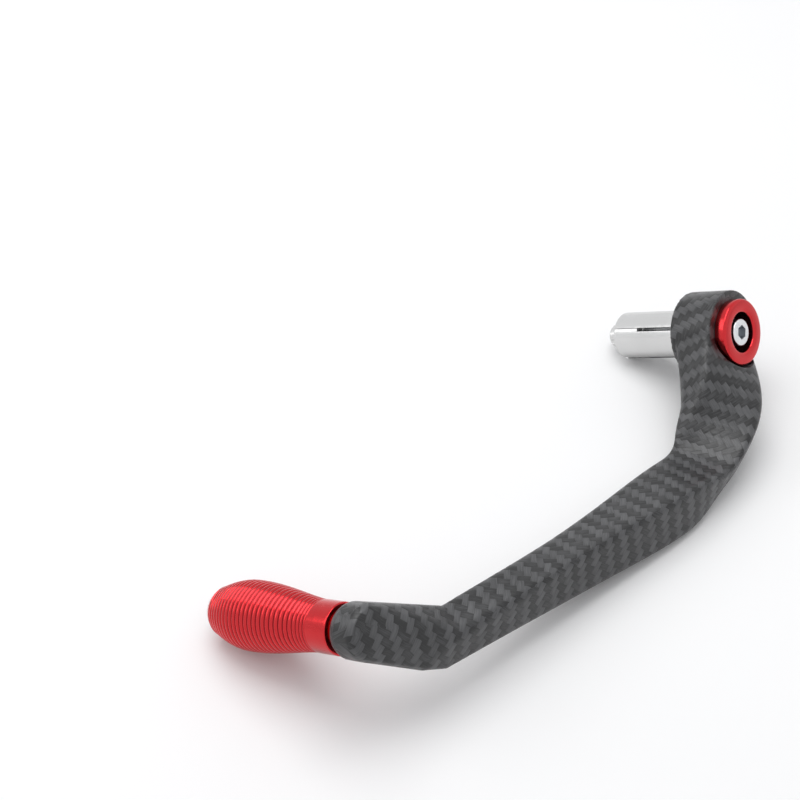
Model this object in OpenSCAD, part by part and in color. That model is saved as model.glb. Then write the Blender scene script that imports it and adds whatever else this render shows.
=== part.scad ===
// Motorcycle lever guard: a twisted, bent arm that is clamped into the end of a handlebar by an
// expander sleeve, with a ribbed grip bar at its far end.
// Frame: X runs outboard along the handlebar axis, the arm runs forward along -Y, Z is up.
// The origin lies on the handlebar axis at the inboard face of the arm's boss.

/* [Arm path] */
// distance between the handlebar axis and the grip bar axis
reach = 164.8; // [150:0.1:185]
// how far the elbow lies in front of the handlebar axis
elbow_fwd = 37.6; // [32:0.1:44]
// how far the elbow lies below the handlebar axis
elbow_drop = 27.8; // [22:0.1:32]
// how far the elbow lies outboard of the boss's inboard face
elbow_out = 17.4; // [14:0.1:22]
// outboard flare of the head between boss and elbow
head_flare = 4; // [2:0.1:5]
// downward bow of the head between boss and elbow
head_bow = 2.8; // [1:0.1:4]
// distance of the limb's end from the grip bar axis
limb_end_back = 19; // [17:0.1:23]
// how far the limb's end lies below the two axes
limb_end_drop = 14.7; // [12:0.1:17]
// downward sag of the long limb at its middle
limb_sag = 3.1; // [0:0.1:5]

/* [Arm section] */
// width of the section that leaves the boss
root_w = 23.5; // [21:0.1:24.5]
// width at the head
head_w = 21.9; // [19:0.1:24]
// width where the arm bends
bend_w = 19.3; // [17:0.1:22]
// width at the elbow
elbow_w = 17.5; // [15:0.1:20]
// width at the middle of the long limb
limb_w = 12.4; // [11:0.1:16]
// width at the end of the long limb
limb_end_w = 9.6; // [8.5:0.1:12]
// thickness of the section that leaves the boss
root_t = 13.2; // [11:0.1:14]
// thickness at the head
head_t = 11.2; // [10:0.1:13]
// thickness at the elbow
elbow_t = 10.2; // [9:0.1:13]
// thickness behind the elbow
limb_t = 12.5; // [11:0.1:14]
// thickness at the middle of the long limb
limb_mid_t = 14.4; // [12:0.1:16]
// thickness at the end of the long limb
limb_end_t = 11.2; // [9.5:0.1:13]
// radius of the arm's long edges
edge_r = 2.4; // [1.5:0.1:3]
// how far the inner shoulder stands out at the head
shoulder_head = 2.6; // [1.5:0.1:3.5]
// how far the inner shoulder stands out where the arm bends
shoulder_bend = 4.8; // [3:0.1:6]
// how far the inner shoulder stands out at the elbow
shoulder_elbow = 3.4; // [2:0.1:4.5]
// inward shift of the outer lower edge at the elbow
elbow_lean = 2.2; // [0:0.1:3]
// depth of the outer lower edge below the section's centre at the elbow
elbow_keel = 4.1; // [3.5:0.1:5.5]
// depth of the outer lower edge behind the elbow, where it makes a corner
knee_keel = 8.8; // [6:0.1:9.5]
// inward tuck of the inner lower edge along the long limb
limb_tuck = 2.9; // [1:0.1:3.5]
// outward shift of the lower side at the end of the long limb
limb_end_lean = 4.2; // [3:0.1:5.5]

/* [Arm twist] */
// turn of the broad face out of the outboard direction at the boss
root_twist = 4; // [0:1:12]
// turn at the head
head_twist = 26; // [18:1:34]
// turn where the arm bends
bend_twist = 52; // [42:1:60]
// turn at the elbow
elbow_twist = 67; // [60:1:76]
// turn along the long limb
limb_twist = 73; // [66:1:82]
// turn at the end of the long limb
limb_end_twist = 42; // [34:1:56]

/* [Boss] */
// radius of the boss
boss_r = 13.2; // [12:0.1:15]
// length of the boss along the handlebar axis
boss_len = 14.4; // [12:0.1:18]
// radius of the boss's rounded rims
boss_edge_r = 1.1; // [0.6:0.1:2]
// outer radius of the steel bush in the boss
bush_r = 6.4; // [5:0.1:7]

/* [Block] */
// radius of the block around the grip bar axis
block_r = 7.6; // [7.2:0.1:9]
// outboard face of the block at its lower corner
block_out = 4.4; // [3:0.1:6]
// inboard face of the block, against the grip bar
block_in = -8.2; // [-10:0.1:-7]
// how much the block's outboard face leans back at the grip bar axis
block_lean = 2.4; // [1:0.1:3]
// distance of the block's lower corner behind the grip bar axis
corner_back = 11.4; // [9:0.1:13]
// distance of the block's lower corner below the grip bar axis
corner_drop = 16.6; // [14:0.1:18]
// radius of the block's lower corner
corner_r = 2.6; // [2:0.1:3.5]
// outer radius of the brass insert
insert_r = 3.8; // [3.3:0.1:4.6]
// length of the brass insert
insert_len = 8; // [6:0.1:8.5]

/* [Collar and bolt] */
// radius of the red collar
collar_r = 10.4; // [9.4:0.1:10.8]
// thickness of the collar in front of the boss
collar_t = 3.7; // [3:0.1:5]
// width of the collar's chamfers
collar_chamfer = 0.6; // [0.3:0.1:1.1]
// radius of the recess for the bolt head
recess_r = 6.2; // [5.4:0.1:6.6]
// radius of the collar's spigot in the boss
spigot_r = 7.6; // [7.2:0.1:8.2]
// depth of the collar's spigot in the boss
spigot_len = 3.3; // [2.4:0.1:4]
// thickness of the floor under the bolt head
floor_t = 1.5; // [1:0.1:2]
// radius of the spotface around the collar
spotface_r = 11.1; // [11:0.1:11.8]
// radius of the lock washer
washer_r = 4.9; // [4.5:0.1:5.2]
// thickness of the lock washer
washer_t = 1; // [0.8:0.1:1.3]
// radius of the bolts' shanks
shank_r = 2.5; // [2:0.1:2.6]
// radius of the expander bolt's head
head_r = 4.25; // [3.8:0.05:4.4]
// height of the expander bolt's head
head_h = 4; // [3.4:0.1:4.6]
// size of the hexagon socket across its flats
socket_af = 4; // [3.4:0.1:4.4]
// depth of the hexagon socket
socket_depth = 2.4; // [1.8:0.1:2.8]

/* [Expander sleeve] */
// outer radius of the sleeve
sleeve_r = 7.55; // [7:0.05:8.5]
// length of the sleeve
sleeve_len = 26.3; // [24:0.1:34]
// chamfer at the sleeve's far rim
sleeve_chamfer = 0.6; // [0.2:0.1:1]
// radius of the sleeve's straight bore
sleeve_bore_r = 4.2; // [3.6:0.1:4.4]
// radius of the tapered seat at the sleeve's far rim
seat_r = 5.4; // [5:0.1:5.8]
// length of the tapered seat
seat_len = 9.4; // [7:0.1:11]
// number of slots around the sleeve
slot_count = 4; // [3:1:6]
// width of a slot
slot_w = 1.2; // [0.8:0.1:1.6]
// length of a slot from the far rim
slot_len = 22.6; // [18:0.1:23]
// turn of the first slot from the forward direction towards the top
slot_turn = 40; // [0:1:60]
// how far the nut's nose stands out of the sleeve
nose_len = 4.6; // [3:0.1:6]
// radius of the nut's nose
nose_r = 3.7; // [3.4:0.1:4.2]
// radius of the flutes in the nut's nose
flute_r = 1; // [0.6:0.1:1.2]
// gap between a rib and its slot
rib_gap = 0.1; // [0.05:0.05:0.2]
// how far a rib lies below the sleeve's surface
rib_sink = 0.35; // [0.2:0.05:0.8]

/* [Grip bar] */
// length of the grip bar
grip_len = 49.6; // [42:0.1:58]
// radius of the smooth collar
grip_collar_r = 7.1; // [6.6:0.1:8]
// length of the smooth collar
grip_collar_len = 8.5; // [6:0.1:11]
// radius at the belly
belly_r = 9.9; // [9:0.1:11.5]
// radius at the tip
tip_r = 6.6; // [6.2:0.1:8]
// place of the belly as a share of the length
belly_at = 0.72; // [0.65:0.01:0.8]
// length of the spacer neck between block and collar
neck_len = 0.8; // [0.5:0.1:1.2]
// radius of the spacer neck
neck_r = 5.6; // [5:0.1:6.2]
// number of grooves
groove_count = 25; // [18:1:28]
// depth of a groove
groove_depth = 0.5; // [0.3:0.05:0.7]
// radius of the counterbore at the tip
tip_bore_r = 4.7; // [4.5:0.1:5.2]
// depth of the counterbore at the tip
tip_bore_depth = 6.4; // [5.6:0.1:8]
// height of the grip bolt's head
grip_head_h = 5; // [4:0.1:5.2]

/* [Fits] */
// radial gap of a bolt in a plain bore
bolt_gap = 0.25; // [0.15:0.05:0.4]
// length of the bolts' lead-in chamfer
bolt_lead = 0.6; // [0.3:0.1:1]

/* [Hidden] */
$fn = 64;
carbon_col = [0.24, 0.25, 0.26];
red_col = [0.8, 0.12, 0.12];
steel_col = [0.72, 0.73, 0.75];
brass_col = [0.78, 0.62, 0.32];
eps = 0.02;
rim_steps = 6;
spans = 8;
x_spigot = boss_len - spigot_len;
x_floor = x_spigot + floor_t;
x_head = x_floor + washer_t;
x_collar = boss_len + collar_t;
groove_end = grip_len - 1.2;
groove_pitch = (groove_end - grip_collar_len) / groove_count;

function mix(a, b, t) = a + (b - a) * t;
function unit(v) = v / norm(v);

// Section centres: three at the head, one at the elbow and three along the limb.
root_c = [boss_len / 2 + 1.2, -3.4, -3.6];
elbow_c = [elbow_out, -elbow_fwd, -elbow_drop];
end_c = [(block_in + block_out) / 2 + 1.9, -reach + limb_end_back, -limb_end_drop];
head_c = mix(root_c, elbow_c, 0.34) + [head_flare, 0, -0.7 * head_bow];
bend_c = mix(root_c, elbow_c, 0.64) + [0.85 * head_flare, 0, -1.1 * head_bow];
limb_c = mix(elbow_c, end_c, 0.17) - [0, 0, limb_sag / 3];
mid_c = mix(elbow_c, end_c, 0.56) - [0, 0, limb_sag];

// Each station holds its centre, width, thickness and twist, then the shoulder's stand-out and its
// level between the lower side (-1) and the broad face (1), then the shift and depth of the outer
// lower edge, then the shift and depth of the inner lower edge.
bend_t = (head_t + elbow_t) / 2;
stations = [
    [root_c, root_w, root_t, root_twist, 0.3, -0.8, 0, root_t / 2, 0, root_t / 2],
    [head_c, head_w, head_t, head_twist, shoulder_head, -0.6, 0, 0.55 * head_t, 1.2, head_t / 2],
    [bend_c, bend_w, bend_t, bend_twist, shoulder_bend, 0.5, elbow_lean / 2, 0.46 * bend_t, 0.4, bend_t / 2],
    [elbow_c, elbow_w, elbow_t, elbow_twist, shoulder_elbow, 0.9, elbow_lean, elbow_keel, -0.8, elbow_t / 2],
    [limb_c, elbow_w + 0.3, limb_t, limb_twist, 0.5, 0.6, 0, knee_keel, -0.7 * limb_tuck, limb_t / 2],
    [mid_c, limb_w, limb_mid_t, limb_twist, 0.2, 0.6, -0.2, 0.46 * limb_mid_t, -limb_tuck, limb_mid_t / 2],
    [end_c, limb_end_w, limb_end_t, limb_end_twist, 0.2, 0.6, -limb_end_lean, 0.4 * limb_end_t,
        -1.3 * limb_end_lean, 0.37 * limb_end_t]
];
last = len(stations) - 1;

// A smooth curve through all stations, for one of their four values.
function at_station(i, k) =
    i < 0 ? 2 * stations[0][k] - stations[1][k]
    : i > last ? 2 * stations[last][k] - stations[last - 1][k]
    : stations[i][k];
function smooth_through(a, b, c, d, t) =
    (2 * b + (c - a) * t + (2 * a - 5 * b + 4 * c - d) * t * t + (3 * b - a - 3 * c + d) * t * t * t) / 2;
function along(u, k) =
    let (i = min(floor(u), last - 1), t = u - i)
    smooth_through(at_station(i - 1, k), at_station(i, k), at_station(i + 1, k), at_station(i + 2, k), t);

// The section's frame: run is the direction of travel, face is the normal of the broad face.
function run_at(u) = unit(along(min(u + 0.05, last), 0) - along(max(u - 0.05, 0), 0));
function out_at(u) = let (r = run_at(u)) unit([1, 0, 0] - r[0] * r);
function face_at(u) =
    let (o = out_at(u), up = cross(run_at(u), o), a = along(u, 3))
    cos(a) * o + sin(a) * up;
function side_at(u) = cross(run_at(u), face_at(u));

// The section's five corners, and a ring of points with each corner rounded by a short curve.
function corners_at(u) =
    let (w = along(u, 1) / 2, t = along(u, 2) / 2, out = along(u, 4), level = along(u, 5))
    [[w, t], [-w, t], [-w + along(u, 6), -along(u, 7)], [w + along(u, 8), -along(u, 9)], [w + out, level * t]];
function step_from(a, b) = a + unit(b - a) * min(edge_r, 0.46 * norm(b - a));
function bend_between(a, b, c, t) = mix(mix(a, b, t), mix(b, c, t), t);
function ring(u) =
    let (c = along(u, 0), s = side_at(u), f = face_at(u), q = corners_at(u), n = len(q))
    [for (i = [0:n - 1], j = [0:rim_steps])
        let (a = step_from(q[i], q[(i + n - 1) % n]), b = step_from(q[i], q[(i + 1) % n]),
            p = bend_between(a, q[i], b, j / rim_steps))
        c + s * p[0] + f * p[1]];

module loft(rings) {
    n = len(rings[0]);
    m = len(rings);
    points = [for (r = rings) each r];
    sides = [for (i = [0:m - 2], j = [0:n - 1])
        [i * n + j, i * n + (j + 1) % n, (i + 1) * n + (j + 1) % n, (i + 1) * n + j]];
    polyhedron(points, concat(
        [[for (j = [0:n - 1]) n - 1 - j]],
        [for (f = sides) [f[0], f[1], f[2]]],
        [for (f = sides) [f[0], f[2], f[3]]],
        [[for (j = [0:n - 1]) (m - 1) * n + j]]));
}

// Turned about a line parallel to X: the profile holds [distance along X, radius] points.
module turned(profile, fn = 64) {
    rotate([0, 90, 0])
        rotate_extrude($fn = fn)
            polygon([for (p = profile) [p[1], p[0]]]);
}

module rod(x0, x1, r, fn = 64) {
    translate([x0, 0, 0])
        rotate([0, 90, 0])
            cylinder(h = x1 - x0, r = r, $fn = fn);
}

module hex_socket(x_face, depth) {
    translate([x_face - depth, 0, 0])
        rotate([0, 90, 0])
            cylinder(h = depth + 1, r = socket_af / sqrt(3), $fn = 6);
}

module at_grip() {
    translate([0, -reach, 0])
        children();
}

// A disc with rounded rims, for the hull of the block.
module soft_disc(x0, x1, r, e) {
    turned(concat(
        [[x0, 0]],
        [for (i = [0:4]) [x0 + e - e * cos(i * 22.5), r - e + e * sin(i * 22.5)]],
        [for (i = [4:-1:0]) [x1 - e + e * cos(i * 22.5), r - e + e * sin(i * 22.5)]],
        [[x1, 0]]), 32);
}

module boss_body() {
    e = boss_edge_r;
    turned(concat(
        [[0, 0]],
        [for (i = [0:5]) [e - e * cos(i * 18), boss_r - e + e * sin(i * 18)]],
        [for (i = [5:-1:0]) [boss_len - e + e * cos(i * 18), boss_r - e + e * sin(i * 18)]],
        [[boss_len, 0]]), 72);
}

module block_body() {
    hull() {
        at_grip()
            soft_disc(block_in, block_out - block_lean, block_r, edge_r);
        translate([0, -reach + corner_back, -corner_drop])
            soft_disc(block_in + 5, block_out, corner_r, edge_r);
        loft([ring(last - 0.1), ring(last)]);
    }
}

// Moulded arm: boss, twisted limb and block in one piece.
module guard_arm() {
    color(carbon_col)
        difference() {
            union() {
                boss_body();
                loft([for (i = [0:last * spans]) ring(i / spans)]);
                block_body();
            }
            rod(boss_len, boss_len + 40, spotface_r);
            rod(x_spigot, boss_len + 1, spigot_r);
            rod(-20, x_spigot + eps, bush_r);
            rod(-60, 0, boss_r + 12);
            at_grip()
                rod(block_in - 20, block_in + insert_len, insert_r);
        }
}

// Steel bush that carries the clamping force through the boss.
module boss_bush() {
    color(steel_col)
        difference() {
            rod(0, x_spigot, bush_r);
            rod(-1, x_spigot + 1, shank_r + bolt_gap);
        }
}

// Red washer with a spigot in the boss and a recess for the bolt head.
module end_collar() {
    c = collar_chamfer;
    color(red_col)
        turned([
            [x_spigot, shank_r + bolt_gap],
            [x_spigot, spigot_r],
            [boss_len, spigot_r],
            [boss_len, collar_r - c / 2],
            [boss_len + c / 2, collar_r],
            [x_collar - c, collar_r],
            [x_collar, collar_r - c],
            [x_collar, recess_r + c],
            [x_collar - c, recess_r],
            [x_floor, recess_r],
            [x_floor, shank_r + bolt_gap]], 72);
}

module lock_washer() {
    color(steel_col)
        difference() {
            rod(x_floor, x_head, washer_r);
            rod(x_floor - 1, x_head + 1, shank_r + bolt_gap);
        }
}

// Cap screw from the collar through the sleeve into the nut.
module expander_bolt() {
    tip = -sleeve_len - nose_len + 0.8;
    e = 0.4;
    color(steel_col)
        difference() {
            turned([
                [tip, 0],
                [tip, shank_r - bolt_lead],
                [tip + bolt_lead, shank_r],
                [x_head, shank_r],
                [x_head, head_r],
                [x_head + head_h - e, head_r],
                [x_head + head_h, head_r - e],
                [x_head + head_h, 0]]);
            hex_socket(x_head + head_h, socket_depth);
        }
}

module slots(w, x0, x1, r0, r1) {
    for (i = [0:slot_count - 1])
        rotate([-slot_turn - i * 360 / slot_count, 0, 0])
            translate([x0, -r1, -w / 2])
                cube([x1 - x0, r1 - r0, w]);
}

// Slotted tube that spreads against the inside of the handlebar.
module expander_sleeve() {
    c = sleeve_chamfer;
    color(steel_col)
        difference() {
            turned([
                [-sleeve_len, seat_r],
                [-sleeve_len, sleeve_r - c],
                [-sleeve_len + c, sleeve_r],
                [0, sleeve_r],
                [0, sleeve_bore_r],
                [-sleeve_len + seat_len, sleeve_bore_r]]);
            slots(slot_w, -sleeve_len - 1, -sleeve_len + slot_len, sleeve_bore_r - 1, sleeve_r + 1);
        }
}

// Tapered nut with ribs in the slots and a fluted nose.
module wedge_nut() {
    x_in = -sleeve_len + seat_len;
    x_out = -sleeve_len - nose_len;
    color(steel_col)
        difference() {
            union() {
                turned([
                    [x_out, 0],
                    [x_out, nose_r - 0.4],
                    [x_out + 0.4, nose_r],
                    [-sleeve_len, nose_r],
                    [-sleeve_len, seat_r],
                    [x_in, sleeve_bore_r],
                    [x_in, 0]]);
                slots(slot_w - 2 * rib_gap, -sleeve_len + 0.3, x_in - 0.3, shank_r + 0.7, sleeve_r - rib_sink);
            }
            rod(x_out - 1, x_in + 1, shank_r);
            for (i = [0:slot_count - 1])
                rotate([45 - slot_turn - i * 360 / slot_count, 0, 0])
                    translate([0, nose_r + 0.55 * flute_r, 0])
                        rod(x_out - 1, -sleeve_len - 0.6, flute_r, 24);
        }
}

// Threaded insert moulded into the block.
module grip_insert() {
    color(brass_col)
        at_grip()
            difference() {
                rod(block_in, block_in + insert_len, insert_r);
                rod(block_in - 1, block_in + insert_len + 1, shank_r);
            }
}

// Outline of the turned bar without grooves: collar, waist, belly and rounded tip.
function bar_r(s) =
    let (a = belly_at * grip_len)
    s <= grip_collar_len ? grip_collar_r
    : s <= a ? mix(grip_collar_r, belly_r, pow(sin(90 * (s - grip_collar_len) / (a - grip_collar_len)), 1.4))
    : mix(tip_r, belly_r, cos(90 * (s - a) / (grip_len - a)));

module grip_bar() {
    x0 = block_in;
    grooved = [for (i = [0:groove_count - 1])
        let (s = grip_collar_len + i * groove_pitch, p = groove_pitch)
        each [
            [x0 - s - 0.1 * p, bar_r(s + 0.1 * p) - groove_depth],
            [x0 - s - 0.4 * p, bar_r(s + 0.4 * p) - 0.1],
            [x0 - s - 0.9 * p, bar_r(s + 0.9 * p) - 0.1]]];
    color(red_col)
        at_grip()
            turned(concat(
                [[x0, shank_r + bolt_gap],
                    [x0, neck_r],
                    [x0 - neck_len, neck_r],
                    [x0 - neck_len, grip_collar_r - 0.4],
                    [x0 - neck_len - 0.4, grip_collar_r],
                    [x0 - grip_collar_len, grip_collar_r]],
                grooved,
                [[x0 - groove_end, bar_r(groove_end)],
                    [x0 - grip_len, min(tip_r, bar_r(groove_end)) - 0.5],
                    [x0 - grip_len, tip_bore_r],
                    [x0 - grip_len + tip_bore_depth, tip_bore_r],
                    [x0 - grip_len + tip_bore_depth, shank_r + bolt_gap]]), 48);
}

// Cap screw sunk in the tip of the grip bar.
module grip_bolt() {
    x_seat = block_in - grip_len + tip_bore_depth;
    x_face = x_seat - grip_head_h;
    tip = block_in + insert_len - 0.8;
    color(steel_col)
        at_grip()
            difference() {
                turned([
                    [x_face, 0],
                    [x_face, head_r - 0.4],
                    [x_face + 0.4, head_r],
                    [x_seat, head_r],
                    [x_seat, shank_r],
                    [tip - bolt_lead, shank_r],
                    [tip, shank_r - bolt_lead],
                    [tip, 0]]);
                translate([2 * x_face, 0, 0])
                    mirror([1, 0, 0])
                        hex_socket(x_face, socket_depth);
            }
}

guard_arm();
boss_bush();
end_collar();
lock_washer();
expander_bolt();
expander_sleeve();
wedge_nut();
grip_insert();
grip_bar();
grip_bolt();
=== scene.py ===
import math

import bmesh
import bpy
import numpy as np
from mathutils import Matrix, Vector


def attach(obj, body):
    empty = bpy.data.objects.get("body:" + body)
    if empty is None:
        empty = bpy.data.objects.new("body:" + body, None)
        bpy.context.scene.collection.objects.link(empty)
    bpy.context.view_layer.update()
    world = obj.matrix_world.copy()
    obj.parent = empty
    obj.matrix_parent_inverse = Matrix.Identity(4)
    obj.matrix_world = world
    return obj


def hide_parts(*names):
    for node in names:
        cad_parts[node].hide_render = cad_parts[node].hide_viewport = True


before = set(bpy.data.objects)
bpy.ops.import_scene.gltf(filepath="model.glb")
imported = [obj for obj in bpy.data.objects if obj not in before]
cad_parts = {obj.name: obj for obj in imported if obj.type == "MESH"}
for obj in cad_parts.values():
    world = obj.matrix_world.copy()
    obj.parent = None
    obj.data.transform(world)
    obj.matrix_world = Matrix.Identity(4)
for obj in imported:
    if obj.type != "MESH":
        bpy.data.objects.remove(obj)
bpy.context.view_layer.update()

# Guard arm: moulded in one piece and dipped in a carbon-look film. The limb is a loft of rounded
# five-cornered sections that twist from the outboard direction at the boss to the top along the long limb.
# A station holds centre, width, thickness, twist, shoulder and level, then shift and depth of the lower edges.
MM = 0.001
REACH, BOSS_LEN, BOSS_R, X_BLOCK = 164.8, 14.4, 13.2, -8.2
X_SPIGOT, SPIGOT_R, SPOTFACE_R, BUSH_R, INSERT_R, BAR_ROOM_R = 11.1, 7.6, 11.1, 6.4, 3.8, 25.2
EDGE_R, EDGE_POINTS, SLICES, LATE = 2.4, 7, 49, 0.1
arm_stations = np.array([
    [8.4, -3.4, -3.6, 23.5, 13.2, 4, 0.3, -0.8, 0, 6.6, 0, 6.6],
    [15.46, -15.03, -13.79, 21.9, 11.2, 26, 2.6, -0.6, 0, 6.16, 1.2, 5.6],
    [17.56, -25.29, -22.17, 19.3, 10.7, 52, 4.8, 0.5, 1.1, 4.92, 0.4, 5.35],
    [17.4, -37.6, -27.8, 17.5, 10.2, 67, 3.4, 0.9, 2.2, 4.1, -0.8, 5.1],
    [14.44, -55.99, -26.6, 17.8, 12.5, 73, 0.5, 0.6, 0, 8.8, -2.03, 6.25],
    [7.66, -98.19, -23.56, 12.4, 14.4, 73, 0.2, 0.6, -0.2, 6.62, -2.9, 7.2],
    [0.0, -145.8, -14.7, 9.6, 11.2, 42, 0.2, 0.6, -4.2, 4.48, -5.46, 4.14]])
LAST = len(arm_stations) - 1
padded = np.vstack([2 * arm_stations[0] - arm_stations[1], arm_stations, 2 * arm_stations[-1] - arm_stations[-2]])
ALONG_X = Matrix.Rotation(math.pi / 2, 4, "Y")


def along(u):
    i = min(int(u), LAST - 1)
    a, b, c, d = padded[i:i + 4]
    f = u - i
    return (2 * b + (c - a) * f + (2 * a - 5 * b + 4 * c - d) * f * f + (3 * b - a - 3 * c + d) * f ** 3) / 2


def section(u):
    run = along(min(u + 0.05, LAST))[:3] - along(max(u - 0.05, 0))[:3]
    run /= np.linalg.norm(run)
    out = np.array([1.0, 0, 0]) - run[0] * run
    out /= np.linalg.norm(out)
    v = along(u)
    twist = math.radians(v[5])
    face = math.cos(twist) * out + math.sin(twist) * np.cross(run, out)
    side = np.cross(run, face)
    w, h = v[3] / 2, v[4] / 2
    corners = np.array([[w + v[10], -v[11]], [w + v[6], v[7] * h], [w, h], [-w, h], [-w + v[8], -v[9]]])
    return v[:3], side, face, run, corners


def as_piece(name, bm):
    mesh = bpy.data.meshes.new(name)
    bm.to_mesh(mesh)
    bm.free()
    piece = bpy.data.objects.new(name, mesh)
    bpy.context.collection.objects.link(piece)
    return piece


def rod(bm, x0, x1, radius, y=0.0, sides=144):
    place = Matrix.Translation(((x0 + x1) / 2 * MM, y * MM, 0)) @ ALONG_X
    bmesh.ops.create_cone(bm, cap_ends=True, segments=sides, radius1=radius * MM, radius2=radius * MM,
                          depth=(x1 - x0) * MM, matrix=place)


def cut_away(piece, cutters):
    for cutter in cutters:
        cut = piece.modifiers.new("cut", "BOOLEAN")
        cut.operation, cut.solver, cut.object = "DIFFERENCE", "EXACT", cutter
    bpy.context.view_layer.update()
    depsgraph = bpy.context.evaluated_depsgraph_get()
    piece.data = bpy.data.meshes.new_from_object(piece.evaluated_get(depsgraph))
    piece.modifiers.clear()
    for cutter in cutters:
        bpy.data.objects.remove(cutter)


bm = bmesh.new()
previous = None
late_rings = []
for u in sorted([*np.linspace(0, LAST, SLICES), LAST - LATE]):
    centre, side, face, _, corners = section(u)
    ring = []
    for i, corner in enumerate(corners):
        ends = []
        for other in (corners[i - 1], corners[(i + 1) % len(corners)]):
            gap = other - corner
            ends.append(corner + gap / np.linalg.norm(gap) * min(EDGE_R, 0.46 * np.linalg.norm(gap)))
        for j in range(EDGE_POINTS):
            f = j / (EDGE_POINTS - 1)
            p = (1 - f) ** 2 * ends[0] + 2 * f * (1 - f) * corner + f * f * ends[1]
            ring.append(bm.verts.new((centre + side * p[0] + face * p[1]) * MM))
    edges = [bm.edges.new((ring[i], ring[i - 1])) for i in range(len(ring))]
    if previous is None:
        bmesh.ops.contextual_create(bm, geom=ring)
    else:
        bmesh.ops.bridge_loops(bm, edges=previous + edges)
    previous = edges
    if u >= LAST - LATE:
        late_rings += [v.co.copy() for v in ring]
bmesh.ops.contextual_create(bm, geom=ring)

# The boss and the block are closed bodies that overlap the loft, and the remesh below joins all three. The
# block is the hull of a round end behind the grip, a smaller round corner and the limb's last two slices.
rod(bm, 0, BOSS_LEN, BOSS_R, sides=128)
BLOCK_LEAN = 2.4
block = bmesh.new()
for x0, x1, r, y, z in ((X_BLOCK, 2.0, 7.6, -REACH, 0), (-3.2, 4.4, 2.6, -REACH + 11.4, -16.6)):
    slight = 0.3 * BLOCK_LEAN
    for x, radius in ((x0, r - BLOCK_LEAN), (x0 + slight, r - slight), (x0 + BLOCK_LEAN, r),
                      (x1 - BLOCK_LEAN, r), (x1 - slight, r - slight), (x1, r - BLOCK_LEAN)):
        bmesh.ops.create_circle(block, segments=72, radius=radius * MM,
                                matrix=Matrix.Translation((x * MM, y * MM, z * MM)) @ ALONG_X)
for co in late_rings:
    block.verts.new(co)
hull = bmesh.ops.convex_hull(block, input=block.verts)
inside = list({v for v in hull["geom_interior"] if isinstance(v, bmesh.types.BMVert)})
bmesh.ops.delete(block, geom=inside, context="VERTS")
bmesh.ops.delete(block, geom=[e for e in block.edges if not e.link_faces], context="EDGES")
bmesh.ops.recalc_face_normals(block, faces=block.faces)
block_mesh = bpy.data.meshes.new("block_part")
block.to_mesh(block_mesh)
block.free()
bm.from_mesh(block_mesh)
bpy.data.meshes.remove(block_mesh)
bmesh.ops.recalc_face_normals(bm, faces=bm.faces)
arm = as_piece("guard_arm_moulding", bm)
remesh = arm.modifiers.new("join", "REMESH")
remesh.mode, remesh.voxel_size = "VOXEL", 0.42 * MM
smooth = arm.modifiers.new("soften", "SMOOTH")
smooth.factor, smooth.iterations = 0.5, 3

# Cut into the arm, in turn: the spot face under the collar, what stands inboard of the boss and round the
# handlebar's end, the spigot's seat, the bush's bore and the threaded insert's bore.
cutters = []
for x0, x1, radius, y in ((BOSS_LEN, 60, SPOTFACE_R, 0), (-60, 0, BAR_ROOM_R, 0), (X_SPIGOT, 15, SPIGOT_R, 0),
                          (-1, 11.2, BUSH_R, 0), (-9, -0.2, INSERT_R, -REACH)):
    bm = bmesh.new()
    rod(bm, x0, x1, radius, y)
    cutters.append(as_piece("cutter", bm))
cut_away(arm, cutters)
arm.data.shade_smooth()
arm.data.set_sharp_from_angle(angle=math.radians(50))

# The film's own map, in mm: the distance along the arm's centre line, and round the section from the middle
# of its broad face. It is carried on past both ends, so the weave wraps the boss and the block. A point
# takes the section's nearest side along the limb, and at the ends the side that its surface looks along.
# One unit of the map that is kept stands for 10 mm.
SAMPLES, PAST_END, STEP_OUT, NEAR_BOSS, NEAR_BLOCK, BATCH, MAP_SCALE = 400, 59, 0.5, 40, 22, 4000, 0.1
frames = [section(u) for u in np.linspace(0, LAST, SAMPLES)]
first_run, last_run = frames[0][3], frames[-1][3]


def carried_on(values):
    values = np.array(values)
    return np.vstack([np.repeat(values[:1], PAST_END, 0), values, np.repeat(values[-1:], PAST_END, 0)])


steps_out = np.arange(1, PAST_END + 1)[:, None] * STEP_OUT
centres = np.array([f[0] for f in frames])
centres = np.vstack([centres[0] - first_run * steps_out[::-1], centres, centres[-1] + last_run * steps_out])
sides, faces, rings = (carried_on([f[k] for f in frames]) for k in (1, 2, 4))
lengths = np.concatenate([[0], np.cumsum(np.linalg.norm(np.diff(centres, axis=0), axis=1))])
count = len(arm.data.vertices)
points = np.empty(count * 3)
arm.data.vertices.foreach_get("co", points)
points = points.reshape(-1, 3) / MM
near = np.empty(count, int)
for start in range(0, count, BATCH):
    gap = ((points[start:start + BATCH, None] - centres[None]) ** 2).sum(2)
    near[start:start + BATCH] = gap.argmin(1)
offset = points - centres[near]
flat = np.stack([(offset * sides[near]).sum(1), (offset * faces[near]).sum(1)], 1)
run_at = np.gradient(centres, axis=0)
run_at /= np.linalg.norm(run_at, axis=1, keepdims=True)
film_v = lengths[near] + (offset * run_at[near]).sum(1)
corner = rings[near]
following = np.roll(corner, -1, axis=1)
edge = following - corner
edge_len = np.linalg.norm(edge, axis=2)
at = ((flat[:, None] - corner) * edge).sum(2) / edge_len ** 2
gap = np.linalg.norm(flat[:, None] - corner - edge * np.clip(at, 0, 1)[..., None], axis=2)
best = gap.argmin(1)
normals = np.empty(count * 3)
arm.data.vertices.foreach_get("normal", normals)
normals = normals.reshape(-1, 3)
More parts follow.
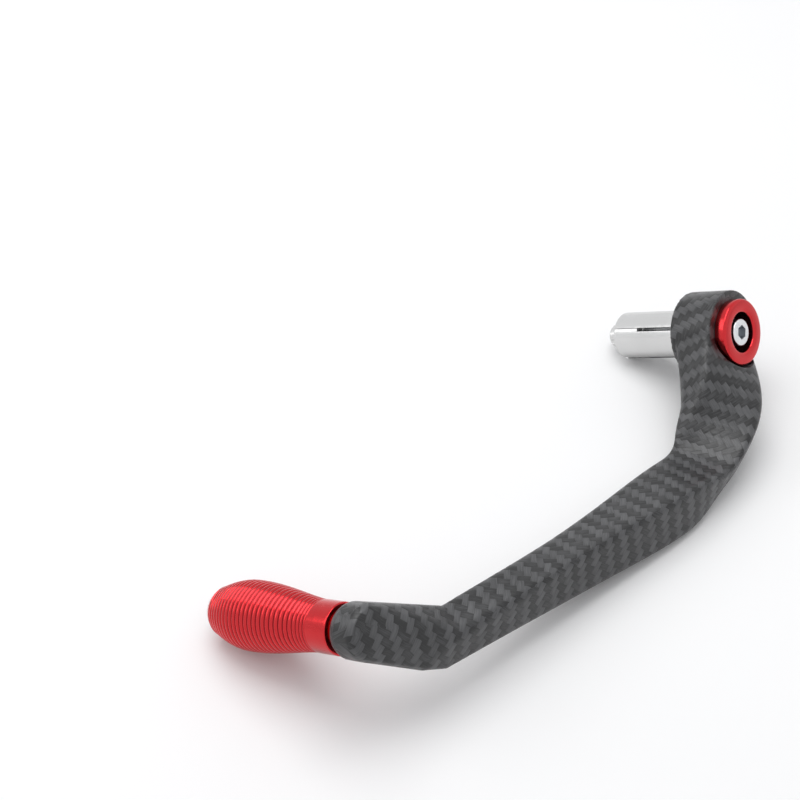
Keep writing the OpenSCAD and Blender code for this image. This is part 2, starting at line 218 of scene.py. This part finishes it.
looks = np.stack([(normals * sides[near]).sum(1), (normals * faces[near]).sum(1)], 1)
outward = np.stack([-edge[:, :, 1], edge[:, :, 0]], 2) / edge_len[..., None]
outward *= np.sign((outward * (corner + following)).sum(2, keepdims=True))
at_ends = (near < PAST_END + NEAR_BOSS) | (near > len(centres) - PAST_END - NEAR_BLOCK)
best[at_ends] = (outward * looks[:, None]).sum(2).argmax(1)[at_ends]
before = np.concatenate([np.zeros((count, 1)), np.cumsum(edge_len, axis=1)], 1)
rows = np.arange(count)
film_u = before[rows, best] + at[rows, best] * edge_len[rows, best] - (before[:, 2] + before[:, 3]) / 2
girth = before[:, 5]
loops = np.empty(len(arm.data.loops), int)
arm.data.loops.foreach_get("vertex_index", loops)
loop_u, loop_v, loop_girth = film_u[loops], film_v[loops], girth[loops]
for poly in arm.data.polygons:
    span = slice(poly.loop_start, poly.loop_start + poly.loop_total)
    u_here = loop_u[span]
    if u_here.max() - u_here.min() > 0.5 * loop_girth[poly.loop_start]:
        loop_u[span] = np.where(u_here < u_here.mean(), u_here + loop_girth[span], u_here)
film_map = arm.data.uv_layers.new(name="film")
film_map.data.foreach_set("uv", np.stack([loop_u, loop_v], 1).ravel() * MAP_SCALE)

# The film's twill: floats of both thread directions, two over and two under, at 45 degrees to the arm.
FIBRES_ACROSS, FIBRES_ALONG = 12.0, 0.35
twill = bpy.data.node_groups.new("Twill", "ShaderNodeTree")
for name, kind in (("Map", "NodeSocketVector"), ("Threads", "NodeSocketFloat")):
    twill.interface.new_socket(name, in_out="INPUT", socket_type=kind)
for name in ("Warp", "Height", "Fibre", "Tile"):
    twill.interface.new_socket(name, in_out="OUTPUT", socket_type="NodeSocketFloat")
w_in, w_out = twill.nodes.new("NodeGroupInput"), twill.nodes.new("NodeGroupOutput")


def reckon(tree, operation, *values):
    node = tree.nodes.new("ShaderNodeMath")
    node.operation = operation
    for socket, value in zip(node.inputs, values):
        if isinstance(value, (int, float)):
            socket.default_value = value
        else:
            tree.links.new(value, socket)
    return node.outputs[0]


def calc(operation, *values):
    return reckon(twill, operation, *values)


turned = twill.nodes.new("ShaderNodeVectorRotate")
turned.rotation_type = "Z_AXIS"
turned.inputs["Angle"].default_value = math.radians(45)
twill.links.new(w_in.outputs["Map"], turned.inputs["Vector"])
parts = twill.nodes.new("ShaderNodeSeparateXYZ")
twill.links.new(turned.outputs[0], parts.inputs[0])
warp_at = calc("MULTIPLY", parts.outputs["X"], w_in.outputs["Threads"])
weft_at = calc("MULTIPLY", parts.outputs["Y"], w_in.outputs["Threads"])
warp_no, weft_no = calc("FLOOR", warp_at), calc("FLOOR", weft_at)
warp = calc("LESS_THAN", calc("FLOORED_MODULO", calc("SUBTRACT", warp_no, weft_no), 4.0), 1.5)
warp_run = calc("ADD", calc("SUBTRACT", warp_no, weft_at), 1.0)
weft_run = calc("SUBTRACT", warp_at, weft_no)
warp_long = calc("MULTIPLY", calc("FLOORED_MODULO", warp_run, 4.0), 0.5)
weft_long = calc("MULTIPLY", calc("SUBTRACT", calc("FLOORED_MODULO", weft_run, 4.0), 2.0), 0.5)


def hump(long_way, wide_way):
    across = calc("SINE", calc("MULTIPLY", wide_way, math.pi))
    lengthways = calc("SINE", calc("MULTIPLY", long_way, math.pi))
    return calc("MULTIPLY", calc("POWER", calc("MAXIMUM", across, 0.0), 0.4),
                calc("POWER", calc("MAXIMUM", lengthways, 0.0), 0.5))


def either(first, second):
    node = twill.nodes.new("ShaderNodeMix")
    twill.links.new(warp, node.inputs["Factor"])
    twill.links.new(second, node.inputs["A"])
    twill.links.new(first, node.inputs["B"])
    return node.outputs["Result"]


height = either(hump(warp_long, calc("FRACT", warp_at)), hump(weft_long, calc("FRACT", weft_at)))
fibres = []
for wide, lengthwise in ((warp_at, weft_at), (weft_at, warp_at)):
    joined = twill.nodes.new("ShaderNodeCombineXYZ")
    twill.links.new(calc("MULTIPLY", wide, FIBRES_ACROSS), joined.inputs["X"])
    twill.links.new(calc("MULTIPLY", lengthwise, FIBRES_ALONG), joined.inputs["Y"])
    grain = twill.nodes.new("ShaderNodeTexNoise")
    grain.inputs["Scale"].default_value = 1.0
    grain.inputs["Detail"].default_value = 3.0
    twill.links.new(joined.outputs[0], grain.inputs["Vector"])
    fibres.append(grain.outputs["Fac"])
tile = twill.nodes.new("ShaderNodeTexWhiteNoise")
tile_at = twill.nodes.new("ShaderNodeCombineXYZ")
weft_float = calc("FLOOR", calc("MULTIPLY", weft_run, 0.25))
warp_float = calc("FLOOR", calc("MULTIPLY", warp_run, 0.25))
twill.links.new(either(warp_no, weft_float), tile_at.inputs["X"])
twill.links.new(either(warp_float, weft_no), tile_at.inputs["Y"])
twill.links.new(tile_at.outputs[0], tile.inputs["Vector"])
for name, value in (("Warp", warp), ("Height", height), ("Fibre", either(*fibres)), ("Tile", tile.outputs["Value"])):
    twill.links.new(value, w_out.inputs[name])

film = bpy.data.materials.new("CarbonFilm")
film.use_nodes = True
nodes, links = film.node_tree.nodes, film.node_tree.links
shader = nodes["Principled BSDF"]
uv, weave = nodes.new("ShaderNodeUVMap"), nodes.new("ShaderNodeGroup")
uv.uv_map = "film"
weave.node_tree = twill
weave.inputs["Threads"].default_value = 5.2
drift, drift_add = nodes.new("ShaderNodeTexNoise"), nodes.new("ShaderNodeVectorMath")
drift.inputs["Scale"].default_value = 2.2
drift.inputs["Detail"].default_value = 1.0
drift_add.operation = "MULTIPLY_ADD"
drift_add.inputs[1].default_value = (0.12, 0.12, 0.0)
links.new(uv.outputs[0], drift.inputs["Vector"])
links.new(drift.outputs["Color"], drift_add.inputs[0])
links.new(uv.outputs[0], drift_add.inputs[2])
links.new(drift_add.outputs[0], weave.inputs["Map"])


def shade_math(operation, *values):
    return reckon(film.node_tree, operation, *values)


level = shade_math("MULTIPLY_ADD", weave.outputs["Warp"], 0.6, -0.1)
level = shade_math("MULTIPLY_ADD", weave.outputs["Height"], 0.28, level)
level = shade_math("MULTIPLY_ADD", shade_math("SUBTRACT", weave.outputs["Fibre"], 0.5), 1.7, level)
level = shade_math("MULTIPLY_ADD", shade_math("SUBTRACT", weave.outputs["Tile"], 0.5), 0.4, level)
# Painted highlight: the film's colour is made lighter along its edges and creases, where the bevel's normal turns
# away from the face's own.
edge_near, edge_mask = nodes.new("ShaderNodeBevel"), nodes.new("ShaderNodeVectorMath")
edge_near.samples = 6
edge_near.inputs["Radius"].default_value = 1.1 * MM
edge_mask.operation = "DOT_PRODUCT"
facing = nodes.new("ShaderNodeNewGeometry")
links.new(edge_near.outputs["Normal"], edge_mask.inputs[0])
links.new(facing.outputs["Normal"], edge_mask.inputs[1])
edge_highlight = shade_math("MULTIPLY", shade_math("SUBTRACT", 1.0, edge_mask.outputs["Value"]), 2.2)
level = shade_math("ADD", level, shade_math("MULTIPLY", edge_highlight, weave.outputs["Fibre"]))
tones = nodes.new("ShaderNodeMix")
tones.data_type = "RGBA"
tones.inputs["A"].default_value = (0.0035, 0.0036, 0.004, 1)
tones.inputs["B"].default_value = (0.088, 0.089, 0.093, 1)
tones.clamp_factor = True
links.new(level, tones.inputs["Factor"])
links.new(tones.outputs["Result"], shader.inputs["Base Color"])
rough_noise, place = nodes.new("ShaderNodeTexNoise"), nodes.new("ShaderNodeTexCoord")
rough_noise.inputs["Scale"].default_value = 420.0
rough_noise.inputs["Detail"].default_value = 3.0
links.new(place.outputs["Object"], rough_noise.inputs["Vector"])
links.new(shade_math("MULTIPLY_ADD", rough_noise.outputs["Fac"], 0.16, 0.3), shader.inputs["Roughness"])
relief = nodes.new("ShaderNodeBump")
relief.inputs["Strength"].default_value = 0.6
relief.inputs["Distance"].default_value = 0.12 * MM
film_height = shade_math("MULTIPLY_ADD", rough_noise.outputs["Fac"], 0.3, weave.outputs["Height"])
links.new(film_height, relief.inputs["Height"])
links.new(relief.outputs["Normal"], shader.inputs["Normal"])
shader.inputs["Coat Weight"].default_value = 0.1
shader.inputs["Coat Roughness"].default_value = 0.22
arm.data.materials.clear()
arm.data.materials.append(film)
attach(arm, "root")
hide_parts("guard_arm")

# Boss bush: a plain steel tube moulded into the boss, which takes the clamp load of the expander bolt. It
# is hidden between the collar and the sleeve, so it keeps its CAD shape and takes the plated finish.

# The fine lines that a lathe leaves are noise that changes quickly along the turning axis X only.
turning = bpy.data.node_groups.new("TurningLines", "ShaderNodeTree")
for name in ("Density", "Roughness", "Spread"):
    turning.interface.new_socket(name, in_out="INPUT", socket_type="NodeSocketFloat")
for name in ("Height", "Roughness"):
    turning.interface.new_socket(name, in_out="OUTPUT", socket_type="NodeSocketFloat")
t_in, t_out = turning.nodes.new("NodeGroupInput"), turning.nodes.new("NodeGroupOutput")
t_co, t_xyz = turning.nodes.new("ShaderNodeTexCoord"), turning.nodes.new("ShaderNodeSeparateXYZ")
turning.links.new(t_co.outputs["Object"], t_xyz.inputs[0])
lathe_at = reckon(turning, "MULTIPLY", t_xyz.outputs["X"], t_in.outputs["Density"])
fine, wide, patch = (turning.nodes.new("ShaderNodeTexNoise") for _ in range(3))
for noise, scale in ((fine, 1.0), (wide, 0.12)):
    noise.noise_dimensions = "1D"
    noise.inputs["Scale"].default_value = scale
    noise.inputs["Detail"].default_value = 2.0
    turning.links.new(lathe_at, noise.inputs["W"])
patch.inputs["Scale"].default_value = 260.0
patch.inputs["Detail"].default_value = 3.0
turning.links.new(t_co.outputs["Object"], patch.inputs["Vector"])
uneven = reckon(turning, "ADD", wide.outputs["Fac"], patch.outputs["Fac"])
dulled = reckon(turning, "MULTIPLY_ADD", uneven, t_in.outputs["Spread"], t_in.outputs["Roughness"])
dulled.node.use_clamp = True
turning.links.new(fine.outputs["Fac"], t_out.inputs["Height"])
turning.links.new(dulled, t_out.inputs["Roughness"])


def turned_metal(name, colour, roughness, spread, density, bump, coat=0.0):
    mat = bpy.data.materials.new(name)
    mat.use_nodes = True
    nodes, links = mat.node_tree.nodes, mat.node_tree.links
    shader = nodes["Principled BSDF"]
    lines, relief = nodes.new("ShaderNodeGroup"), nodes.new("ShaderNodeBump")
    tone, ramp, place = (nodes.new(n) for n in ("ShaderNodeTexNoise", "ShaderNodeMix", "ShaderNodeTexCoord"))
    lines.node_tree = turning
    lines.inputs["Density"].default_value = density
    lines.inputs["Roughness"].default_value = roughness - spread
    lines.inputs["Spread"].default_value = spread
    relief.inputs["Strength"].default_value = bump
    relief.inputs["Distance"].default_value = 0.04 * MM
    tone.inputs["Scale"].default_value = 90.0
    tone.inputs["Detail"].default_value = 4.0
    ramp.data_type = "RGBA"
    ramp.inputs["A"].default_value = (*[c * 0.88 for c in colour], 1)
    ramp.inputs["B"].default_value = (*[min(1, c * 1.06) for c in colour], 1)
    shader.inputs["Metallic"].default_value = 1.0
    shader.inputs["Coat Weight"].default_value = coat
    shader.inputs["Coat Roughness"].default_value = 0.06
    links.new(place.outputs["Object"], tone.inputs["Vector"])
    links.new(tone.outputs["Fac"], ramp.inputs["Factor"])
    links.new(ramp.outputs["Result"], shader.inputs["Base Color"])
    links.new(lines.outputs["Roughness"], shader.inputs["Roughness"])
    links.new(lines.outputs["Height"], relief.inputs["Height"])
    links.new(relief.outputs["Normal"], shader.inputs["Normal"])
    return mat


def finish_cad(node, metal):
    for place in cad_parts[node].material_slots:
        place.material = metal


zinc = turned_metal("ZincSteel", (0.74, 0.75, 0.77), 0.28, 0.1, 5200.0, 0.3)
finish_cad("boss_bush", zinc)

# Threaded insert: brass, moulded into the arm's block, where the grip bolt screws in. It is hidden too, and
# keeps its CAD shape.
brass = turned_metal("TurnedBrass", (0.78, 0.56, 0.22), 0.3, 0.1, 5200.0, 0.3)
finish_cad("grip_insert", brass)

# Expander sleeve: a polished aluminium tube with four saw slots from its far rim, so that its fingers
# spread inside the handlebar. Turned pieces are half-profiles, in mm, spun about a line parallel to X.
SLEEVE_R, SLEEVE_LEN, SLEEVE_BORE, SLOT_W, SLOT_TURNS = 7.55, 26.3, 4.2, 1.2, (40, 130, 220, 310)


def turn(name, profile, steps=128, y=0.0, closed=True):
    bm = bmesh.new()
    verts = [bm.verts.new((x * MM, y * MM, r * MM)) for x, r in profile]
    edges = [bm.edges.new(ends) for ends in zip(verts, verts[1:])]
    if closed:
        edges.append(bm.edges.new((verts[-1], verts[0])))
    bmesh.ops.spin(bm, geom=verts + edges, cent=(0, y * MM, 0), axis=(1, 0, 0),
                   angle=2 * math.pi, steps=steps, use_merge=True, dvec=(0, 0, 0))
    bmesh.ops.remove_doubles(bm, verts=bm.verts, dist=1e-7)
    bmesh.ops.recalc_face_normals(bm, faces=bm.faces)
    piece = as_piece(name, bm)
    piece.data.shade_smooth()
    piece.data.set_sharp_from_angle(angle=math.radians(38))
    return piece


polished = turned_metal("PolishedAluminium", (0.65, 0.65, 0.645), 0.2, 0.08, 7000.0, 0.35)
sleeve = turn("expander_sleeve_tube", [
    (-SLEEVE_LEN, 5.4), (-SLEEVE_LEN, 6.95), (-26.22, 7.2), (-26.02, 7.42), (-25.75, 7.53), (-25.5, SLEEVE_R),
    (0, SLEEVE_R), (0, SLEEVE_BORE), (-16.9, SLEEVE_BORE)], 160)
slots = bmesh.new()
for slot_turn in SLOT_TURNS:
    slot_place = (Matrix.Rotation(math.radians(-slot_turn), 4, "X")
                  @ Matrix.Translation((-15.7 * MM, -6 * MM, 0))
                  @ Matrix.Diagonal((24 * MM, 5.6 * MM, SLOT_W * MM, 1)))
    bmesh.ops.create_cube(slots, size=1.0, matrix=slot_place)
cut_away(sleeve, [as_piece("slot_cut", slots)])
sleeve.data.set_sharp_from_angle(angle=math.radians(35))
sleeve.data.materials.append(polished)
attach(sleeve, "root")
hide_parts("expander_sleeve")

# Wedge nut: a bright tapered nut at the sleeve's far end, whose ribs sit in the slots and spread it. Its
# CAD shape is right, so it takes the polished metal.
finish_cad("wedge_nut", polished)

# End collar: a turned and red anodised aluminium washer whose spigot sits in the arm's boss. Its recess takes
# the bolt head, and its walls and floor are painted darker than the face, as painted shade.
BOLT_HOLE, COLLAR_R, X_COLLAR, RECESS_R, X_FLOOR = 2.75, 10.4, 18.1, 6.2, 12.6


# Painted shade: the faces that the test picks take the second, darker material.
def paint_shade_faces(piece, metal, in_shade, y=0.0):
    piece.data.materials.append(metal)
    for face in piece.data.polygons:
        if in_shade(face.center.x / MM, math.hypot(face.center.y / MM - y, face.center.z / MM)):
            face.material_index = 1


red_metal = turned_metal("RedAnodised", (0.58, 0.030, 0.035), 0.17, 0.06, 9000.0, 0.25, 0.12)
recess_shade_red = turned_metal("RedAnodisedRecessPaintedShade", (0.09, 0.006, 0.01), 0.34, 0.08, 5200.0, 0.4)
collar = turn("end_collar_turned", [
    (X_SPIGOT, BOLT_HOLE), (X_SPIGOT, SPIGOT_R), (BOSS_LEN, SPIGOT_R), (BOSS_LEN, 10.1), (14.55, 10.34),
    (14.8, COLLAR_R), (17.45, COLLAR_R), (17.72, 10.33), (17.9, 10.16), (18.03, 9.95), (X_COLLAR, 9.7),
    (X_COLLAR, 6.95), (18.02, 6.62), (17.84, 6.38), (17.6, 6.25), (17.3, RECESS_R),
    (X_FLOOR, RECESS_R), (X_FLOOR, BOLT_HOLE)])
collar.data.materials.append(red_metal)
# Painted shade: the recess's walls and floor take the dark red material.
paint_shade_faces(collar, recess_shade_red, lambda x, r: r < RECESS_R + 0.1 and x < 17.75)
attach(collar, "root")
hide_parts("end_collar")

# Lock washer: a zinc-plated steel ring that lies on the floor of the collar's recess, under the bolt head,
# with its outer edges broken.
WASHER_R, X_HEAD = 4.9, 13.6
washer = turn("lock_washer_ring", [
    (X_FLOOR, BOLT_HOLE), (X_FLOOR, 4.8), (12.7, WASHER_R), (13.5, WASHER_R), (X_HEAD, 4.8), (X_HEAD, BOLT_HOLE)])
washer.data.materials.append(zinc)
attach(washer, "root")
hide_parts("lock_washer")

# Expander bolt: a zinc-plated M5 cap screw that runs through the collar, the boss and the sleeve to the
# wedge nut. Its head has a rounded rim and a 4 mm hexagon socket, 2.4 mm deep.
SHANK_R, HEAD_R, X_HEAD_TOP, BOLT_END, SOCKET_AF, SOCKET_DEPTH = 2.5, 4.25, 17.6, -30.1, 4, 2.4
bolt = turn("expander_bolt_screw", [
    (BOLT_END, 0.0), (BOLT_END, 1.9), (-29.5, SHANK_R), (X_HEAD, SHANK_R), (X_HEAD, 4.1), (13.75, HEAD_R),
    (17.05, HEAD_R), (17.3, 4.2), (17.47, 4.05), (17.57, 3.85), (X_HEAD_TOP, 3.6), (X_HEAD_TOP, 0.0)],
    96, closed=False)
bm = bmesh.new()
rod(bm, X_HEAD_TOP - SOCKET_DEPTH, X_HEAD_TOP + SOCKET_DEPTH, SOCKET_AF / math.sqrt(3), sides=6)
cut_away(bolt, [as_piece("socket_cut", bm)])
bolt.data.set_sharp_from_angle(angle=math.radians(35))
# Painted shade: the socket's walls and floor take a darker, rougher zinc.
socket_shade_zinc = turned_metal("ZincSteelSocketPaintedShade", (0.48, 0.50, 0.53), 0.42, 0.1, 5200.0, 0.4)
bolt.data.materials.clear()
bolt.data.materials.append(zinc)
paint_shade_faces(bolt, socket_shade_zinc, lambda x, r: r < 2.4 and 15.0 < x < 17.55)
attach(bolt, "root")
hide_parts("expander_bolt")

# Grip bar: turned aluminium, anodised candy red, with a smooth collar, a waist, a belly and rounded grooves.
# The first grooves beside the collar are finer than the rest, and the floors of all of them are painted darker, as
# painted shade.
GRIP_LEN, COLLAR_LEN = 49.6, 8.5
BELLY_AT = 0.72 * GRIP_LEN
GRIP_COLLAR_R, BELLY_SWELL, TIP_R, TIP_SWELL = 7.1, 2.8, 6.6, 3.3
NECK_LEN, NECK_R, TIP_BORE, X_BORE_FLOOR = 0.8, 5.6, 4.7, 43.2
GROOVE_POINTS, GROOVE_PITCH, GROOVE_DEPTH, CREST_SINK, LAST_GROOVE = 8, 1.555, 0.4, 0.1, 47.0


def bar_radius(s):
    if s <= COLLAR_LEN:
        return GRIP_COLLAR_R
    if s <= BELLY_AT:
        rise = math.sin(math.pi / 2 * (s - COLLAR_LEN) / (BELLY_AT - COLLAR_LEN))
        return GRIP_COLLAR_R + BELLY_SWELL * rise ** 1.4
    return TIP_R + TIP_SWELL * math.cos(math.pi / 2 * (s - BELLY_AT) / (GRIP_LEN - BELLY_AT))


outline = [(0, BOLT_HOLE), (0, NECK_R), (NECK_LEN, NECK_R), (NECK_LEN, 6.7), (0.88, 6.95), (1.1, 7.08),
           (1.4, GRIP_COLLAR_R), (8.0, GRIP_COLLAR_R), (8.35, GRIP_COLLAR_R)]
starts = [COLLAR_LEN, 9.6, 10.75, 12.0, 13.4]
while starts[-1] < LAST_GROOVE:
    starts.append(starts[-1] + GROOVE_PITCH)
for a, b in zip(starts, starts[1:]):
    depth = GROOVE_DEPTH * min(1, (b - a) / 1.5) ** 1.3
    for j in range(GROOVE_POINTS):
        s = a + (b - a) * j / GROOVE_POINTS
        groove = (0.5 + 0.5 * math.cos(2 * math.pi * j / GROOVE_POINTS)) ** 2.2
        outline.append((s, bar_radius(s) - CREST_SINK - depth * groove))
end = starts[-1]
outline += [(end, bar_radius(end) - 0.4), (end + 0.3, bar_radius(end + 0.3) - 0.05), (49.1, 6.5), (49.4, 6.3),
            (GRIP_LEN, 5.9), (GRIP_LEN, 4.9), (49.4, TIP_BORE), (X_BORE_FLOOR, TIP_BORE), (X_BORE_FLOOR, BOLT_HOLE)]
grip = turn("grip_bar_turned", [(X_BLOCK - s, r) for s, r in outline], 160, y=-REACH)
# Painted shade: the groove floors take a darker red.
groove_shade_red = turned_metal("RedAnodisedGroovePaintedShade", (0.25, 0.012, 0.016), 0.3, 0.08, 9000.0, 0.3)
grip.data.materials.append(red_metal)
paint_shade_faces(grip, groove_shade_red, lambda x, r: COLLAR_LEN < X_BLOCK - x < 48.0
              and 0.3 < bar_radius(X_BLOCK - x) - r < 0.6, y=-REACH)
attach(grip, "root")
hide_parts("grip_bar")

# Grip bolt: a zinc-plated socket cap screw, sunk in the grip's tip bore, which holds the bar to the block.
# It keeps its CAD shape and takes the plated finish.
finish_cad("grip_bolt", zinc)

# Camera: it stands outboard of the guard and above it, at the photograph's viewing angle. Its place is in
# metres, and right and up are the picture's own directions.
camera_data = bpy.data.cameras.new("photo_camera")
camera_data.lens, camera_data.sensor_width = 72.07, 36.0
camera_data.clip_start, camera_data.clip_end = 0.01, 20.0
camera = bpy.data.objects.new("photo_camera", camera_data)
bpy.context.collection.objects.link(camera)
camera.rotation_mode = "QUATERNION"
camera.location = (0.291254, -0.383292, 0.191296)
camera.rotation_quaternion = (0.798178, 0.467638, 0.326289, 0.194326)
bpy.context.scene.camera = camera
right, up = (camera.rotation_quaternion.to_matrix() @ Vector(v) for v in ((1, 0, 0), (0, 1, 0)))

# Table: white card. The guard lies on it on three points: the sleeve's far rim, the rim of the grip's tip
# and the knee of the arm. Seen from below, the card lets the view through.
table_up = Vector((0.4833, -0.0879, 0.8711)).normalized()
lowest = min(v.co @ table_up for piece in (arm, grip, collar, sleeve) for v in piece.data.vertices)
middle = Vector((0.0, -0.08, 0.0))
middle += table_up * (lowest - middle @ table_up)
bm = bmesh.new()
bmesh.ops.create_grid(bm, x_segments=8, y_segments=8, size=3.0)
table = as_piece("table", bm)
table.matrix_world = Matrix.Translation(middle) @ table_up.to_track_quat("Z", "Y").to_matrix().to_4x4()


def plain_view(tree):
    ray = tree.nodes.new("ShaderNodeLightPath")
    mirrored = reckon(tree, "ADD", ray.outputs["Is Glossy Ray"], ray.outputs["Is Transmission Ray"])
    seen = reckon(tree, "ADD", ray.outputs["Is Camera Ray"], mirrored)
    seen.node.use_clamp = True
    return seen


card = bpy.data.materials.new("WhiteCard")
card.use_nodes = True
nodes, links = card.node_tree.nodes, card.node_tree.links
shader = nodes["Principled BSDF"]
grain, tint, place = nodes.new("ShaderNodeTexNoise"), nodes.new("ShaderNodeMix"), nodes.new("ShaderNodeTexCoord")
grain.inputs["Scale"].default_value = 6.0
tint.data_type = "RGBA"
tint.inputs["A"].default_value = (0.93, 0.93, 0.935, 1)
tint.inputs["B"].default_value = (0.96, 0.96, 0.96, 1)
links.new(place.outputs["Object"], grain.inputs["Vector"])
links.new(grain.outputs["Fac"], tint.inputs["Factor"])
links.new(tint.outputs["Result"], shader.inputs["Base Color"])
shader.inputs["Roughness"].default_value = 0.9
shader.inputs["Specular IOR Level"].default_value = 0.1
shader.inputs["Emission Color"].default_value = (1, 1, 1, 1)
lift = reckon(card.node_tree, "MULTIPLY", plain_view(card.node_tree), 0.03)
links.new(lift, shader.inputs["Emission Strength"])
side, clear, either_side = (nodes.new(n) for n in (
    "ShaderNodeNewGeometry", "ShaderNodeBsdfTransparent", "ShaderNodeMixShader"))
links.new(side.outputs["Backfacing"], either_side.inputs[0])
links.new(shader.outputs[0], either_side.inputs[1])
links.new(clear.outputs[0], either_side.inputs[2])
links.new(either_side.outputs[0], nodes["Material Output"].inputs["Surface"])
table.data.materials.append(card)

# Light: a large soft box over the table towards the picture's top, a weaker one from the left, and a pale
# room, whose light fades towards the table's level. The camera and all reflections see it plain white.
for name, where, size, power in (
        ("key", table_up * 0.75 + up * 0.35 - right * 0.12, 0.8, 5.1),
        ("left", table_up * 0.45 - right * 0.8 + up * 0.1, 0.5, 1.2)):
    lamp_data = bpy.data.lights.new(name, "AREA")
    lamp_data.shape, lamp_data.size, lamp_data.energy = "SQUARE", size, power
    lamp = bpy.data.objects.new(name, lamp_data)
    bpy.context.collection.objects.link(lamp)
    lamp.location = middle + where
    lamp.rotation_mode = "QUATERNION"
    lamp.rotation_quaternion = where.to_track_quat("Z", "Y")
room = bpy.data.worlds.new("room")
room.use_nodes = True
nodes, links = room.node_tree.nodes, room.node_tree.links
sky, place, height, fade = (nodes[n] if n == "Background" else nodes.new(n) for n in (
    "Background", "ShaderNodeTexCoord", "ShaderNodeVectorMath", "ShaderNodeMapRange"))
height.operation = "DOT_PRODUCT"
height.inputs[1].default_value = table_up
fade.interpolation_type = "SMOOTHSTEP"
for name, value in (("From Min", 0.0), ("From Max", 0.85), ("To Min", 0.12), ("To Max", 0.72)):
    fade.inputs[name].default_value = value
plain = nodes.new("ShaderNodeMix")
plain.inputs["B"].default_value = 1.0
sky.inputs["Color"].default_value = (0.98, 0.985, 1.0, 1)
links.new(place.outputs["Generated"], height.inputs[0])
links.new(height.outputs["Value"], fade.inputs["Value"])
links.new(fade.outputs["Result"], plain.inputs["A"])
links.new(plain_view(room.node_tree), plain.inputs["Factor"])
links.new(plain.outputs["Result"], sky.inputs["Strength"])
bpy.context.scene.world = room
bpy.context.scene.view_settings.view_transform = "Standard"
